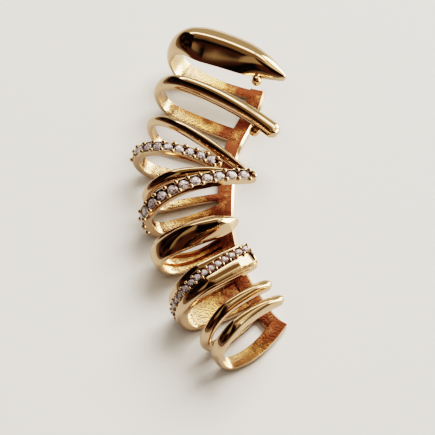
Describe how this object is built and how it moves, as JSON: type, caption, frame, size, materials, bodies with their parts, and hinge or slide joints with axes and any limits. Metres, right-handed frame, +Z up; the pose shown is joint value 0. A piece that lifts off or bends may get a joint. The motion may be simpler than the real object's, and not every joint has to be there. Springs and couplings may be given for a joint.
{
  "type": "ear cuff",
  "caption": "Long ear cuff of curved gold hoops on one spine strip, three of them paved with small clear stones.",
  "frame": {"origin": "under the middle of the whole cuff, on the plane that the spine and the back limbs lie on", "axes": "+Z up from the spine to the front limbs, +Y along the rim of the ear towards the big claw, +X towards the open side where the ear goes in"},
  "size_m": [0.0202, 0.0499, 0.0094],
  "materials": {
    "gold": "mirror-polished warm gold plate",
    "stone": "faceted clear stones"
  },
  "bodies": {
    "root": {"cuff_metal": "gold", "stones_upper_row": "stone", "stones_long_row": "stone", "stones_wide_row": "stone"}
  },
  "joints": []
}
